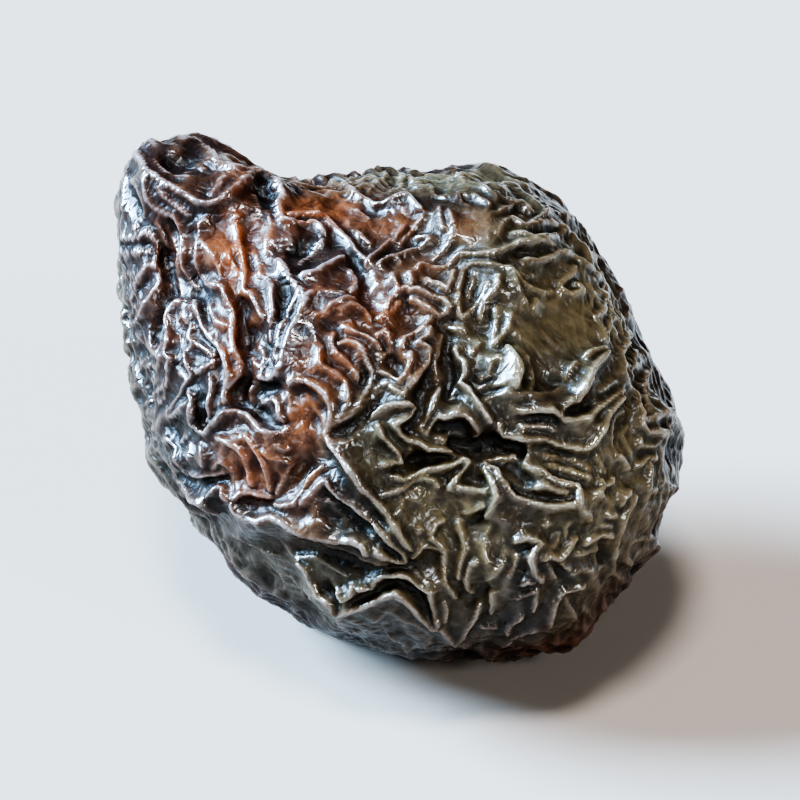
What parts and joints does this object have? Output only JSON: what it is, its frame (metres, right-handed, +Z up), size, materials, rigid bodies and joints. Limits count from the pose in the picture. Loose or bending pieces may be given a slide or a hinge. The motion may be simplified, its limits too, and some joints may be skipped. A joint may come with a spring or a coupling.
{
  "type": "prune",
  "caption": "Whole dried plum, plump and heart-shaped, with a pointed stem end and dark, glossy, deeply wrinkled skin. It lies at rest on a small flat spot.",
  "frame": {"origin": "on the surface that the fruit rests on, below the middle of its bounding box", "axes": "+Z up from the flat spot; +X to the right of the broad side that the picture shows, along the fruit's longest extent; that broad side faces -Y and leans back"},
  "size_m": [0.0398, 0.0372, 0.0306],
  "materials": {
    "prune_skin": "dark red-brown to near-black wrinkled skin, slightly sticky, with a soft gloss on the crests of the folds"
  },
  "bodies": {
    "root": {"prune": "prune_skin"}
  },
  "joints": []
}
